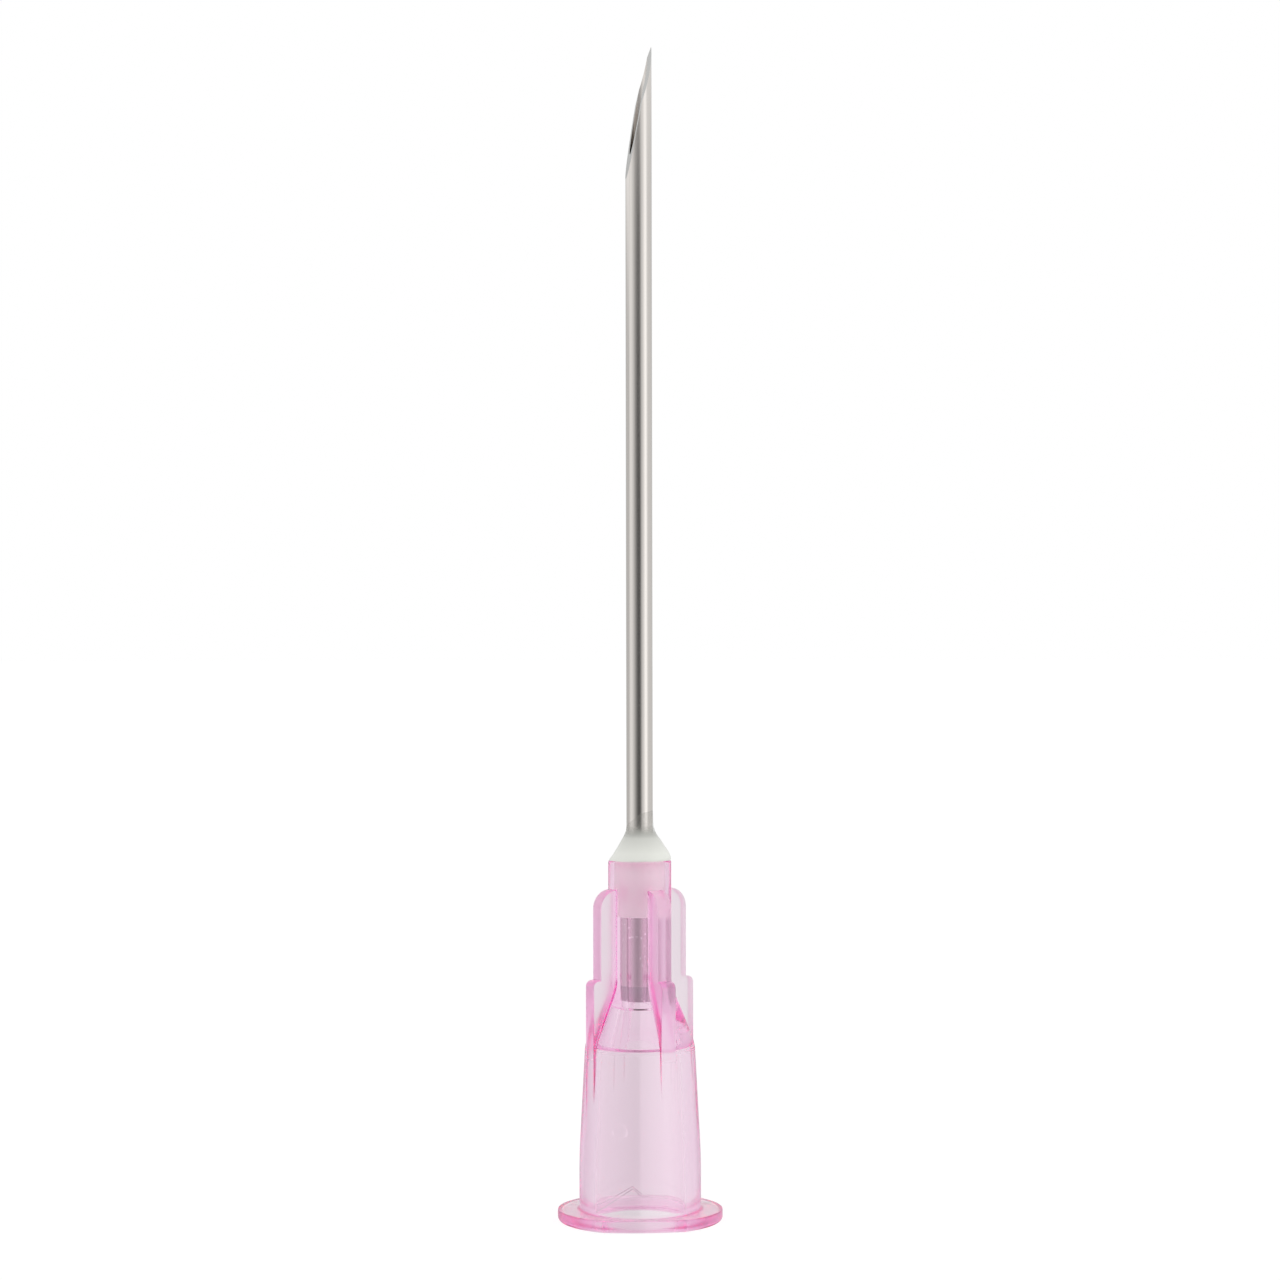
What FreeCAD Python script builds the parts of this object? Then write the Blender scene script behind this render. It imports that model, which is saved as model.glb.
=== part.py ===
"""Single-use hypodermic needle: moulded hub, steel cannula and the adhesive that bonds them.

The needle stands upright on the flange of its hub. The origin is the centre of the mouth of
the hub, +Z points along the cannula to its tip, and all lengths are in millimetres.
"""

import FreeCAD, Part
import math
import os
from types import SimpleNamespace

import Sketcher

SIZES = {
    # Flange of the hub, which carries the two locking lugs
    "flange_radius": 3.91,
    "flange_thickness": 0.58,
    "flange_foot_round": 0.23,
    "flange_top_round": 0.05,
    # Front and back of the flange, cut back so that only the lugs reach the full radius
    "flange_trim_depth": 0.31,
    "flange_trim_radius": 9.0,
    "flange_trim_turn": 3.3,
    # Barrel of the hub, from the flange up to the rim that the cannula leaves
    "foot_round": 0.15,
    "skirt_radius": 2.885,
    "skirt_height": 2.52,
    "shoulder_radius": 2.6,
    "barrel_height": 5.36,
    "cone_height": 2.7,
    "neck_radius": 1.496,
    "neck_height": 5.94,
    "rim_round": 0.05,
    # Four grip ribs round the neck, stepped out over the barrel
    "rib_count": 4,
    "rib_turn": 29.7,
    "rib_thickness": 0.78,
    "upper_rib_radius": 2.335,
    "upper_rib_round": 0.9,
    "upper_rib_drop": 1.35,
    "lower_rib_radius": 2.73,
    "lower_rib_round": 0.3,
    "lower_rib_rise": 0.34,
    # Tapered socket for the syringe nozzle, with the moulded chamber above it
    "socket_mouth_radius": 2.145,
    "socket_radius_taper": 0.03,
    "socket_depth": 8.2,
    "chamber_radius": 1.38,
    "chamber_top_radius": 0.95,
    "chamber_height": 1.77,
    # Well in the neck that takes the adhesive
    "well_radius": 0.82,
    "well_depth": 2.7,
    # Cannula, cut from drawn tube and ground to a lancet point
    "tube_radius": 0.625,
    "lumen_radius": 0.42,
    "exposed_length": 38.65,
    "tube_setback": 0.33,
    "bevel_angle": 9.95,
    "bevel_turn": 14.4,
    "lancet_angle": 17.4,
    "lancet_turn": 32.7,
    "lancet_drop": 0.79,
    "cutter_clearance": 0.5,
    # Bead of adhesive that climbs from the rim to the cannula
    "bead_height": 1.72,
    "bead_waist_radius": 0.97,
    "bead_waist_height": 0.94,
    "bead_swell_radius": 2.6,
    "bead_flare_radius": 1.6,
    "bead_lip": 0.02,
}


class Size:
    """A length or an angle that knows its number and the sheet formula it comes from."""

    def __init__(self, number, formula):
        self.number = number
        self.formula = formula

    def __add__(self, other):
        return Size(self.number + other.number, f"({self.formula} + {other.formula})")

    def __sub__(self, other):
        return Size(self.number - other.number, f"({self.formula} - {other.formula})")

    def __mul__(self, other):
        return Size(self.number * other.number, f"({self.formula} * {other.formula})")

    def __truediv__(self, other):
        return Size(self.number / other.number, f"({self.formula} / {other.formula})")

    def __neg__(self):
        return Size(-self.number, f"(-{self.formula})")


def tan(angle):
    """Tangent of an angle in degrees."""
    return Size(math.tan(math.radians(angle.number)), f"tan({angle.formula})")


def cos(angle):
    """Cosine of an angle in degrees."""
    return Size(math.cos(math.radians(angle.number)), f"cos({angle.formula})")


def bow(radius, half_width):
    """How far an arc stands out over the middle of its chord."""
    square = radius * radius - half_width * half_width
    return radius - Size(math.sqrt(square.number), f"sqrt({square.formula})")


ZERO = Size(0.0, "0")
FULL_TURN = 360.0
TRIMMED_SIDES = 2


def make_sheet(doc):
    """Write the driving sizes to a sheet and return them as named Size values."""
    sheet = doc.addObject("Spreadsheet::Sheet", "Sizes")
    for row, (name, number) in enumerate(SIZES.items(), start=1):
        sheet.set(f"A{row}", name)
        sheet.set(f"B{row}", str(number))
        sheet.setAlias(f"B{row}", name)
    doc.recompute()
    return SimpleNamespace(**{name: Size(number, f"Sizes.{name}") for name, number in SIZES.items()})


def make_body(doc, label, height=ZERO):
    """Start one physical piece, with its own base plane at the given height."""
    body = doc.addObject("PartDesign::Body", label.capitalize())
    body.Label = label
    if height is not ZERO:
        body.setExpression("Placement.Base.z", height.formula)
    return body


def origin_feature(body, role):
    """One of the body's own base planes or axes."""
    return next(item for item in body.Origin.OriginFeatures if item.Role == role)


def make_sketch(body, name, role, turn=None):
    """Attach a sketch to a base plane of its body, turned about the body's axis if asked."""
    sketch = body.newObject("Sketcher::SketchObject", name)
    sketch.AttachmentSupport = [(origin_feature(body, role), "")]
    sketch.MapMode = "FlatFace"
    if turn is not None:
        own_axis = FreeCAD.Vector(0, 1, 0) if role == "XZ_Plane" else FreeCAD.Vector(0, 0, 1)
        rotation = FreeCAD.Rotation(own_axis, turn.number)
        sketch.AttachmentOffset = FreeCAD.Placement(FreeCAD.Vector(), rotation)
        sketch.setExpression("AttachmentOffset.Rotation.Angle", turn.formula)
    return sketch


def arc_between(start, end, radius, bulge):
    """Arc of a given radius from start to end. A bulge of 1 turns left, one of -1 turns right."""
    chord = end - start
    half = chord.Length / 2
    offset = math.sqrt(max(radius * radius - half * half, 0.0))
    across = FreeCAD.Vector(-chord.y, chord.x, 0).normalize()
    centre = start + chord / 2 + across * offset * bulge
    first, last = (start, end) if bulge > 0 else (end, start)
    angles = [math.atan2(point.y - centre.y, point.x - centre.x) for point in (first, last)]
    circle = Part.Circle(centre, FreeCAD.Vector(0, 0, 1), radius)
    return Part.ArcOfCircle(circle, *angles)


def fix_corner(sketch, edge, end, corner):
    """Hold one end of an edge at a corner whose two coordinates follow the sheet."""
    for kind, axis, place in (("DistanceX", -2, corner[0]), ("DistanceY", -1, corner[1])):
        if place is ZERO:
            sketch.addConstraint(Sketcher.Constraint("PointOnObject", edge, end, axis))
            continue
        held = sketch.addConstraint(Sketcher.Constraint(kind, -1, 1, edge, end, place.number))
        sketch.setExpression(f"Constraints[{held}]", place.formula)


def draw_outline(sketch, corners, bends=None):
    """Draw a closed outline through its corners.

    Corners are pairs of Size. An edge is straight unless bends gives, under the number of the
    corner it starts from, its radius and 1 or -1 for a left or a right turn.
    """
    bends = bends or {}
    points = [FreeCAD.Vector(across.number, along.number, 0) for across, along in corners]
    ends = []
    for number, start in enumerate(points):
        finish = points[(number + 1) % len(points)]
        radius, bulge = bends.get(number, (None, 1))
        if radius is None:
            edge = sketch.addGeometry(Part.LineSegment(start, finish), False)
        else:
            edge = sketch.addGeometry(arc_between(start, finish, radius.number, bulge), False)
            held = sketch.addConstraint(Sketcher.Constraint("Radius", edge, radius.number))
            sketch.setExpression(f"Constraints[{held}]", radius.formula)
        ends.append((edge, 1, 2) if bulge > 0 else (edge, 2, 1))
    for number, (edge, first, last) in enumerate(ends):
        following, following_first, _ = ends[(number + 1) % len(ends)]
        joint = Sketcher.Constraint("Coincident", edge, last, following, following_first)
        sketch.addConstraint(joint)
        fix_corner(sketch, edge, first, corners[number])


def turn_profile(body, kind, name, corners, bends=None):
    """Turn an outline in the upright plane right round the body's axis, as added or cut material."""
    sketch = make_sketch(body, name + "Profile", "XZ_Plane")
    draw_outline(sketch, corners, bends)
    feature = body.newObject(f"PartDesign::{kind}", name)
    feature.Profile = sketch
    feature.ReferenceAxis = (sketch, ["V_Axis"])
    feature.Angle = FULL_TURN
    return feature


def repeat_round(body, feature, name, count):
    """Repeat a feature evenly round the body's axis."""
    pattern = body.newObject("PartDesign::PolarPattern", name)
    pattern.Originals = [feature]
    pattern.Axis = (origin_feature(body, "Z_Axis"), [""])
    pattern.Angle = FULL_TURN
    pattern.Occurrences = count
    body.Tip = pattern
    return pattern


def hub_levels(size):
    """Heights above the mouth of the hub at which its form changes."""
    skirt_top = size.flange_thickness + size.skirt_height
    shoulder = skirt_top + size.barrel_height
    neck_foot = shoulder + size.cone_height
    chamber_top = size.socket_depth + size.chamber_height
    return SimpleNamespace(
        skirt_top=skirt_top,
        shoulder=shoulder,
        neck_foot=neck_foot,
        rim=neck_foot + size.neck_height,
        chamber_top=chamber_top,
        tube_foot=chamber_top + size.tube_setback,
    )


def turn_barrel(body, size, level):
    """Outside of the hub without its ribs: flange, skirt, tapered barrel, cone, neck and rim."""
    corners = [
        (ZERO, ZERO),
        (size.flange_radius - size.flange_foot_round, ZERO),
        (size.flange_radius, size.flange_foot_round),
        (size.flange_radius, size.flange_thickness - size.flange_top_round),
        (size.flange_radius - size.flange_top_round, size.flange_thickness),
        (size.skirt_radius + size.foot_round, size.flange_thickness),
        (size.skirt_radius, size.flange_thickness + size.foot_round),
        (size.skirt_radius, level.skirt_top),
        (size.shoulder_radius, level.shoulder),
        (size.neck_radius, level.neck_foot),
        (size.neck_radius, level.rim - size.rim_round),
        (size.neck_radius - size.rim_round, level.rim),
        (ZERO, level.rim),
    ]
    bends = {
        1: (size.flange_foot_round, 1),
        3: (size.flange_top_round, 1),
        5: (size.foot_round, -1),
        10: (size.rim_round, 1),
    }
    return turn_profile(body, "Revolution", "Barrel", corners, bends)


def trim_flange(body, size):
    """Cut the front and back of the flange to shallow curves, which leaves a lug at each side."""
    sketch = make_sketch(body, "FlangeTrimPlan", "XY_Plane", size.flange_trim_turn)
    reach = size.flange_radius - size.flange_trim_depth
    depth = size.flange_radius + size.cutter_clearance
    end = bow(size.flange_trim_radius, size.flange_radius) - reach
    corners = [
        (-size.flange_radius, -depth),
        (size.flange_radius, -depth),
        (size.flange_radius, end),
        (-size.flange_radius, end),
    ]
    draw_outline(sketch, corners, {2: (size.flange_trim_radius, -1)})
    trim = body.newObject("PartDesign::Pocket", "FlangeTrim")
    trim.Profile = sketch
    trim.Reversed = True
    trim.Type = "Length"
    trim.setExpression("Length", size.flange_thickness.formula)
    return repeat_round(body, trim, "FlangeTrims", TRIMMED_SIDES)


def add_ribs(body, size, level):
    """Four flat ribs in two tiers: the lower one runs out into the taper of the barrel."""
    top = level.rim - size.upper_rib_drop
    step = level.neck_foot + size.lower_rib_rise
    corners = [
        (ZERO, level.skirt_top),
        (size.lower_rib_radius, level.skirt_top),
        (size.lower_rib_radius, step - size.lower_rib_round),
        (size.lower_rib_radius - size.lower_rib_round, step),
        (size.upper_rib_radius, step),
        (size.upper_rib_radius, top - size.upper_rib_round),
        (size.upper_rib_radius - size.upper_rib_round, top),
        (ZERO, top),
    ]
    sketch = make_sketch(body, "RibProfile", "XZ_Plane", size.rib_turn)
    draw_outline(sketch, corners, {2: (size.lower_rib_round, 1), 5: (size.upper_rib_round, 1)})
    rib = body.newObject("PartDesign::Pad", "Rib")
    rib.Profile = sketch
    rib.SideType = "Symmetric"
    rib.setExpression("Length", size.rib_thickness.formula)
    pattern = repeat_round(body, rib, "Ribs", round(size.rib_count.number))
    pattern.setExpression("Occurrences", size.rib_count.formula)
    return pattern


def core_hub(body, size, level):
    """Inside of the hub: tapered socket, chamber, bore for the cannula and well for the adhesive."""
    socket_top_radius = size.socket_mouth_radius - size.socket_depth * size.socket_radius_taper
    lower_core = [
        (ZERO, ZERO),
        (size.socket_mouth_radius, ZERO),
        (socket_top_radius, size.socket_depth),
        (size.chamber_radius, size.socket_depth),
        (size.chamber_top_radius, level.chamber_top),
        (ZERO, level.chamber_top),
    ]
    turn_profile(body, "Groove", "Socket", lower_core)
    floor = level.rim - size.well_depth
    upper_core = [
        (ZERO, size.socket_depth),
        (size.tube_radius, size.socket_depth),
        (size.tube_radius, floor),
        (size.well_radius, floor),
        (size.well_radius, level.rim),
        (ZERO, level.rim),
    ]
    return turn_profile(body, "Groove", "Bore", upper_core)


def make_hub(doc, size, level):
    """Hub, moulded in one piece."""
    body = make_body(doc, "hub")
    turn_barrel(body, size, level)
    trim_flange(body, size)
    add_ribs(body, size, level)
    core_hub(body, size, level)
    return body


def grind(body, size, name, turn, angle, reach, height):
    """Grind one flat on the tip. It rises at an angle to the axis and is at height where it is at reach."""
    clear = size.tube_radius + size.cutter_clearance
    low = height - (clear + reach) / tan(angle)
    high = height + (clear - reach) / tan(angle)
    sketch = make_sketch(body, name + "Profile", "XZ_Plane", turn)
    draw_outline(sketch, [(-clear, low), (clear, high), (-clear, high)])
    flat = body.newObject("PartDesign::Pocket", name)
    flat.Profile = sketch
    flat.Type = "Length"
    flat.SideType = "Symmetric"
    flat.setExpression("Length", (clear + clear).formula)
    return flat


def make_cannula(doc, size, level):
    """Steel tube with a long primary bevel and two lancet facets that meet in the point."""
    body = make_body(doc, "cannula", level.tube_foot)
    length = level.rim + size.exposed_length - level.tube_foot
    tube = [
        (size.lumen_radius, ZERO),
        (size.tube_radius, ZERO),
        (size.tube_radius, length),
        (size.lumen_radius, length),
    ]
    turn_profile(body, "Revolution", "Tube", tube)
    bevel_top = length + size.lancet_drop
    grind(body, size, "Bevel", size.bevel_turn, size.bevel_angle, size.tube_radius, bevel_top)
    reach = size.tube_radius * cos(size.lancet_turn)
    left, right = size.bevel_turn + size.lancet_turn, size.bevel_turn - size.lancet_turn
    grind(body, size, "LancetLeft", left, size.lancet_angle, reach, length)
    grind(body, size, "LancetRight", right, size.lancet_angle, reach, length)
    return body


def make_adhesive(doc, size, level):
    """Cured adhesive: a plug in the well and a bead that climbs in an S-curve to the cannula."""
    body = make_body(doc, "adhesive", level.rim)
    corners = [
        (size.tube_radius, -size.well_depth),
        (size.well_radius, -size.well_depth),
        (size.well_radius, ZERO),
        (size.neck_radius - size.rim_round, ZERO),
        (size.bead_waist_radius, size.bead_waist_height),
        (size.tube_radius + size.bead_lip, size.bead_height),
        (size.tube_radius, size.bead_height),
    ]
    bends = {3: (size.bead_swell_radius, 1), 4: (size.bead_flare_radius, -1)}
    turn_profile(body, "Revolution", "Bead", corners, bends)
    return body


def check_document(doc, bodies):
    """Stop if a feature failed or a piece is not one valid solid."""
    failed = [item.Name for item in doc.Objects if {"Invalid", "Error"} & set(item.State)]
    if failed:
        raise RuntimeError(f"failed features: {failed}")
    for body in bodies:
        if body.Shape.isNull() or not body.Shape.isValid() or len(body.Shape.Solids) != 1:
            raise RuntimeError(f"{body.Label} is not one valid solid")


def main():
    """Build the needle and write one STEP file for each piece."""
    doc = FreeCAD.newDocument("HypodermicNeedle")
    size = make_sheet(doc)
    level = hub_levels(size)
    bodies = [maker(doc, size, level) for maker in (make_hub, make_cannula, make_adhesive)]
    doc.recompute()
    check_document(doc, bodies)
    os.makedirs("parts", exist_ok=True)
    for body in bodies:
        body.Shape.exportStep(f"parts/{body.Label}.step")
        print(f"{body.Label}: {body.Shape.Volume:.4f} mm3, top at {body.Shape.BoundBox.ZMax:.3f} mm")


main()
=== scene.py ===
"""Single-use hypodermic needle, upright on the flange of its translucent pink hub.

Every piece is modelled in millimetres round the upright axis of the needle and is brought to
metres when it is finished. Heights are measured from the mouth of the hub.
"""

import logging
import math
from dataclasses import dataclass, field
from enum import Enum
from itertools import pairwise
from typing import Any, Callable, Sequence

import bmesh
import bpy
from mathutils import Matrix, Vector


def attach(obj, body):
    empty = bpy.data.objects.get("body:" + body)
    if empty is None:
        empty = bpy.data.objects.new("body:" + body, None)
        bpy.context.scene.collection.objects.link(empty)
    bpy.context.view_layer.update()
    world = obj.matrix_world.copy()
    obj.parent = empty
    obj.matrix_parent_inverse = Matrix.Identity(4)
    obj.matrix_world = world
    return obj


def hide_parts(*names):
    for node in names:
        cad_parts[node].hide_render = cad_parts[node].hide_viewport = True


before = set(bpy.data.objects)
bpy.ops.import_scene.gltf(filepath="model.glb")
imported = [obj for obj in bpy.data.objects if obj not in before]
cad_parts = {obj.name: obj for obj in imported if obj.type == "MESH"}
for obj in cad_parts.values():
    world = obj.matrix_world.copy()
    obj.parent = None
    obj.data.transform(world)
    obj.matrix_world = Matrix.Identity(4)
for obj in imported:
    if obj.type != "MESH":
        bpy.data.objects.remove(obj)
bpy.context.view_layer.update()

LOG = logging.getLogger("needle")
MILLIMETRE = 0.001
NEAR = 1e-4
PHOTO_SIDE = 1280
SENSOR_MM = 36.0


class Slot(Enum):
    """Finishes that the record names."""

    HUB = "hub_plastic"
    CANNULA = "cannula_steel"
    ADHESIVE = "adhesive_resin"


class Join(Enum):
    """Ways of combining two closed solids."""

    ADD = "UNION"
    CUT = "DIFFERENCE"
    KEEP = "INTERSECT"


# Modelling


@dataclass(frozen=True)
class Ring:
    """One circle of a turned form.

    Attributes:
        radius: Radius of the circle.
        height: Height of its plane.
        shift: How far its centre lies to the right of the axis.
    """

    radius: float
    height: float
    shift: float = 0.0


def arc_rings(
    radius: float, height: float, bend: float, start: float, end: float, steps: int
) -> list[Ring]:
    """Rings along a circular bend of an outline.

    Args:
        radius: Distance of the bend's centre from the axis.
        height: Height of the bend's centre.
        bend: Radius of the bend.
        start: Direction of the first ring from the bend's centre, in degrees from outwards.
        end: Direction of the last ring.
        steps: Number of spans between the rings.

    Returns:
        The rings from start to end.
    """
    angles = [math.radians(start + (end - start) * step / steps) for step in range(steps + 1)]
    return [Ring(radius + bend * math.cos(a), height + bend * math.sin(a)) for a in angles]


class Bench:
    """A piece on the bench: one mesh that is shaped by hand tools."""

    def __init__(self, piece: bpy.types.Object) -> None:
        """Take a new primitive in hand.

        Args:
            piece: The primitive that was just added.
        """
        self.piece = piece
        self.settle()

    @staticmethod
    def clear() -> None:
        """Deselect everything in the scene."""
        bpy.ops.object.select_all(action="DESELECT")

    @classmethod
    def turned(cls, rings: Sequence[Ring], segments: int) -> "Bench":
        """Turn a closed solid by extruding a disc from ring to ring.

        Args:
            rings: The outline from the lowest to the last ring. None lies on the axis.
            segments: Number of sides of each ring.

        Returns:
            The solid, closed by a disc at both ends.
        """
        cls.clear()
        first = rings[0]
        bpy.ops.mesh.primitive_circle_add(
            vertices=segments,
            radius=first.radius,
            fill_type="NGON",
            location=(first.shift, 0.0, first.height),
        )
        work = cls(bpy.context.object)
        with work.editing():
            bpy.ops.mesh.select_all(action="SELECT")
            for old, new in pairwise(rings):
                step = (new.shift - old.shift, 0.0, new.height - old.height)
                bpy.ops.mesh.extrude_region_move(TRANSFORM_OT_translate={"value": step})
                grow = new.radius / old.radius
                bpy.ops.transform.resize(value=(grow, grow, 1.0))
            bpy.ops.mesh.select_all(action="SELECT")
            bpy.ops.mesh.normals_make_consistent(inside=False)
        return work

    @classmethod
    def block(cls, size: Sequence[float], middle: Sequence[float]) -> "Bench":
        """Add a block of a given size round its middle."""
        cls.clear()
        bpy.ops.mesh.primitive_cube_add(size=1.0, scale=tuple(size), location=tuple(middle))
        return cls(bpy.context.object)

    @classmethod
    def rod(cls, radius: float, low: float, high: float, segments: int) -> "Bench":
        """Add an upright rod round the axis between two heights."""
        cls.clear()
        bpy.ops.mesh.primitive_cylinder_add(
            vertices=segments,
            radius=radius,
            depth=high - low,
            location=(0.0, 0.0, (low + high) / 2.0),
        )
        return cls(bpy.context.object)

    def editing(self) -> "Editing":
        """Open the piece in edit mode for as long as the block lasts."""
        return Editing(self.piece)

    def settle(self) -> None:
        """Put the piece's place, turn and scale into its mesh."""
        self.clear()
        self.piece.select_set(True)
        bpy.context.view_layer.objects.active = self.piece
        bpy.ops.object.transform_apply(location=True, rotation=True, scale=True)

    def move(self, step: Sequence[float]) -> "Bench":
        """Move the piece."""
        self.piece.location = Vector(step)
        self.settle()
        return self

    def turn(self, degrees: float) -> "Bench":
        """Turn the piece about the upright axis."""
        self.piece.rotation_euler.z = math.radians(degrees)
        self.settle()
        return self

    def lean(self, degrees: float, pivot: Sequence[float]) -> "Bench":
        """Lean the piece about a level line through a point, so that its top moves to the right."""
        self.piece.location = -Vector(pivot)
        self.settle()
        self.piece.rotation_euler.y = math.radians(degrees)
        self.settle()
        self.piece.location = Vector(pivot)
        self.settle()
        return self

    def pick_edges(self, wanted: Callable[[Vector, Vector], bool]) -> int:
        """Select the edges whose two ends pass a test, in edit mode.

        Args:
            wanted: Takes both ends of an edge and says whether it is picked.

        Returns:
            How many edges were picked.
        """
        bpy.ops.mesh.select_mode(type="EDGE")
        bpy.ops.mesh.select_all(action="DESELECT")
        mesh = bmesh.from_edit_mesh(self.piece.data)
        picked = [edge for edge in mesh.edges if wanted(edge.verts[0].co, edge.verts[1].co)]
        for edge in picked:
            edge.select_set(True)
        bmesh.update_edit_mesh(self.piece.data)
        return len(picked)

    def pick_faces(self, wanted: Callable[[Vector, Vector], bool]) -> int:
        """Select the faces whose middle and normal pass a test, in edit mode.

        Args:
            wanted: Takes the middle and the normal of a face and says whether it is picked.

        Returns:
            How many faces were picked.
        """
        bpy.ops.mesh.select_mode(type="FACE")
        bpy.ops.mesh.select_all(action="DESELECT")
        mesh = bmesh.from_edit_mesh(self.piece.data)
        picked = [face for face in mesh.faces if wanted(face.calc_center_median(), face.normal)]
        for face in picked:
            face.select_set(True)
        bmesh.update_edit_mesh(self.piece.data)
        return len(picked)

    def soften_ring(self, height: float, width: float, steps: int) -> None:
        """Round the rings of edges at one height, but not the edges that run between two rings."""
        with self.editing():
            self.pick_edges(
                lambda a, b: abs(a.z - height) < NEAR
                and abs(b.z - height) < NEAR
                and abs(a.xy.length - b.xy.length) < NEAR
            )
            bpy.ops.mesh.bevel(offset=width, segments=steps, affect="EDGES")

    def apply_modifier(self, kind: str, **settings: Any) -> None:
        """Add a modifier, set it and apply it."""
        self.clear()
        self.piece.select_set(True)
        bpy.context.view_layer.objects.active = self.piece
        modifier = self.piece.modifiers.new(kind.title(), kind)
        for name, value in settings.items():
            setattr(modifier, name, value)
        bpy.ops.object.modifier_apply(modifier=modifier.name)

    def round_edges(self, width: float, steps: int, over: float) -> None:
        """Round every edge that is sharper than an angle in degrees."""
        self.apply_modifier(
            "BEVEL",
            width=width,
            segments=steps,
            limit_method="ANGLE",
            angle_limit=math.radians(over),
            use_clamp_overlap=True,
        )

    def combine(self, other: "Bench", join: Join) -> "Bench":
        """Combine with another closed solid, which is used up."""
        self.apply_modifier(
            "BOOLEAN",
            object=other.piece,
            operation=join.value,
            solver="EXACT",
            material_mode="TRANSFER",
        )
        bpy.data.objects.remove(other.piece, do_unlink=True)
        return self

    def clean(self, distance: float) -> None:
        """Merge corners that lie closer together than a distance."""
        with self.editing():
            bpy.ops.mesh.select_all(action="SELECT")
            bpy.ops.mesh.remove_doubles(threshold=distance)

    def paint(self, material: bpy.types.Material) -> "Bench":
        """Give the whole piece one material."""
        self.piece.data.materials.clear()
        self.piece.data.materials.append(material)
        return self

    def finish(self, name: str, node: str, slot: Slot, sharp: float) -> bpy.types.Object:
        """Bring the piece to metres, smooth it and put it in its CAD node's place.

        Args:
            name: Name of the finished piece.
            node: CAD node that the piece stands for.
            slot: Not used.
            sharp: Edges over this angle in degrees stay sharp.

        Returns:
            The finished piece.
        """
        self.piece.name = name
        self.piece.data.name = name
        self.piece.scale = (MILLIMETRE,) * 3
        self.settle()
        bpy.ops.object.shade_smooth_by_angle(angle=math.radians(sharp))
        self.apply_modifier("WEIGHTED_NORMAL", mode="FACE_AREA", weight=100, keep_sharp=True)
        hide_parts(node)
        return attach(self.piece, "root")


class Editing:
    """Edit mode on one object, left again at the end of a with block."""

    def __init__(self, piece: bpy.types.Object) -> None:
        """Remember the object.

        Args:
            piece: The object to edit.
        """
        self.piece = piece

    def __enter__(self) -> None:
        """Enter edit mode."""
        Bench.clear()
        self.piece.select_set(True)
        bpy.context.view_layer.objects.active = self.piece
        bpy.ops.object.mode_set(mode="EDIT")

    def __exit__(self, *_: object) -> None:
        """Leave edit mode."""
        bpy.ops.object.mode_set(mode="OBJECT")


# Shading


class Wire:
    """An output socket that can be used in sums."""

    def __init__(self, weave: "Weave", socket: bpy.types.NodeSocket) -> None:
        """Wrap an output.

        Args:
            weave: The node tree that the output belongs to.
            socket: The output.
        """
        self.weave = weave
        self.socket = socket

    def _sum(self, operation: str, first: Any, second: Any) -> "Wire":
        """Add one Math node."""
        return self.weave.node("ShaderNodeMath", {"operation": operation}, {0: first, 1: second})

    def __add__(self, other: Any) -> "Wire":
        """Sum of two values."""
        return self._sum("ADD", self, other)

    __radd__ = __add__

    def __mul__(self, other: Any) -> "Wire":
        """Product of two values."""
        return self._sum("MULTIPLY", self, other)

    __rmul__ = __mul__

    def __sub__(self, other: Any) -> "Wire":
        """Difference of two values."""
        return self._sum("SUBTRACT", self, other)

    def __rsub__(self, other: Any) -> "Wire":
        """Difference of a number and this value."""
        return self._sum("SUBTRACT", other, self)

    def __truediv__(self, other: Any) -> "Wire":
        """Quotient of two values."""
        return self._sum("DIVIDE", self, other)

    def __lt__(self, other: Any) -> "Wire":
        """1 where this value is the smaller one, else 0."""
        return self._sum("LESS_THAN", self, other)

    def __abs__(self) -> "Wire":
        """Size of the value without its sign."""
        return self._sum("ABSOLUTE", self, 0.0)

    def clamped(self) -> "Wire":
        """The value held between 0 and 1."""
        return self.weave.node("ShaderNodeClamp", {}, {"Value": self})


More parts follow.
